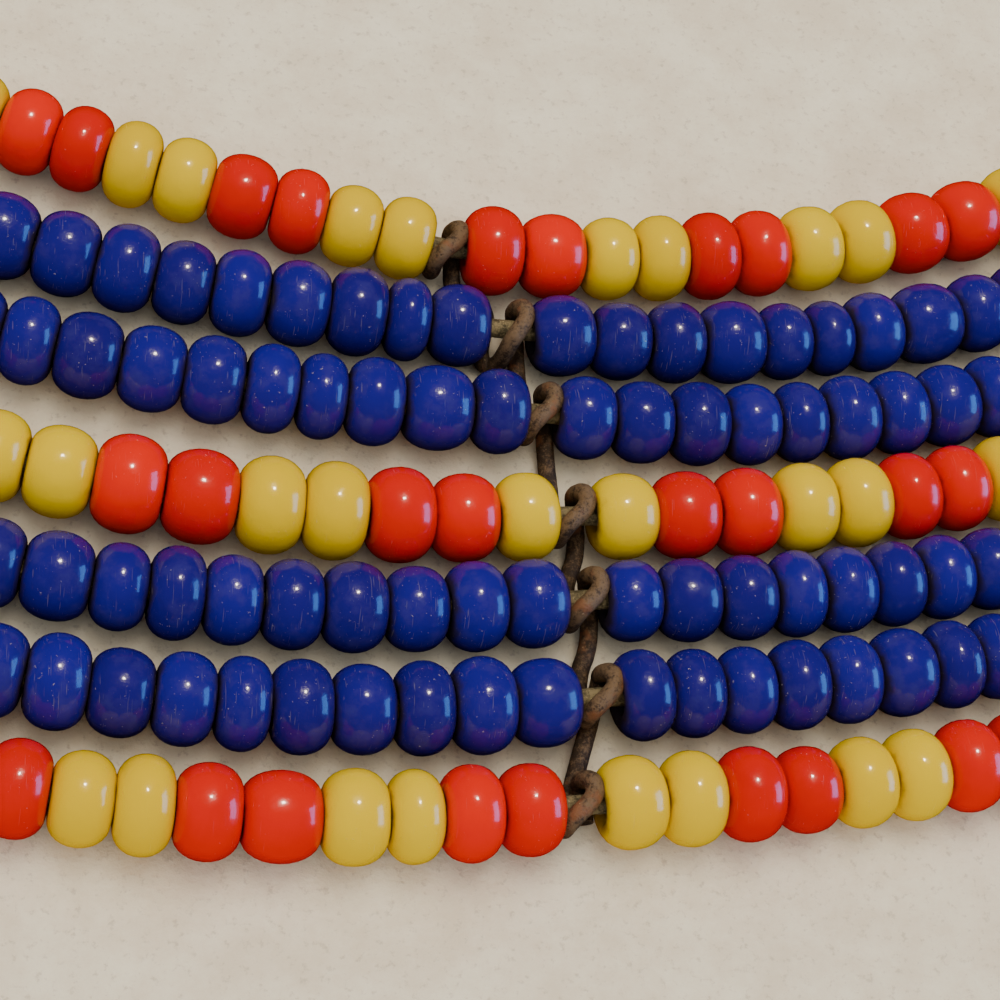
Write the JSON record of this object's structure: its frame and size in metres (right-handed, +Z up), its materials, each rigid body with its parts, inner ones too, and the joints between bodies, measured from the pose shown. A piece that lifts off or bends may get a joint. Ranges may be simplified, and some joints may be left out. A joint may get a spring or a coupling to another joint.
{
  "type": "beaded wire collar",
  "caption": "Flat round collar of concentric rings of glass seed beads on wire, held apart by wrapped spacer wires, with a hook closure.",
  "frame": {"origin": "on the surface that the collar lies on, at the centre of its outline", "axes": "+Z up out of the surface, the closure lies at +Y and the pictured spacer at -Y"},
  "size_m": [0.1704, 0.1711, 0.0029],
  "materials": {
    "blue_glass": "opaque cobalt blue glass, glossy, lightly scratched",
    "striped_glass": "opaque glass, beads in yellow and red pairs, glossy",
    "ring_wire": "bare iron wire, tarnished",
    "rusty_wire": "bare iron wire, rusty",
    "end_wire": "bare iron wire, tarnished"
  },
  "bodies": {
    "root": {"bead_row_1": "striped_glass", "bead_row_2": "blue_glass", "bead_row_3": "blue_glass", "bead_row_4": "striped_glass", "bead_row_5": "blue_glass", "bead_row_6": "blue_glass", "bead_row_7": "striped_glass", "ring_wire_1": "ring_wire", "ring_wire_2": "ring_wire", "ring_wire_3": "ring_wire", "ring_wire_4": "ring_wire", "ring_wire_5": "ring_wire", "ring_wire_6": "ring_wire", "ring_wire_7": "ring_wire", "spacer_wire_01": "rusty_wire", "spacer_wire_02": "rusty_wire", "spacer_wire_03": "rusty_wire", "spacer_wire_04": "rusty_wire", "spacer_wire_05": "rusty_wire", "spacer_wire_06": "rusty_wire", "spacer_wire_07": "rusty_wire", "spacer_wire_08": "rusty_wire", "spacer_wire_09": "rusty_wire", "spacer_wire_10": "rusty_wire", "spacer_wire_11": "rusty_wire", "end_rod_left": "end_wire", "end_rod_right": "end_wire", "clasp_hook": "end_wire"}
  },
  "joints": []
}
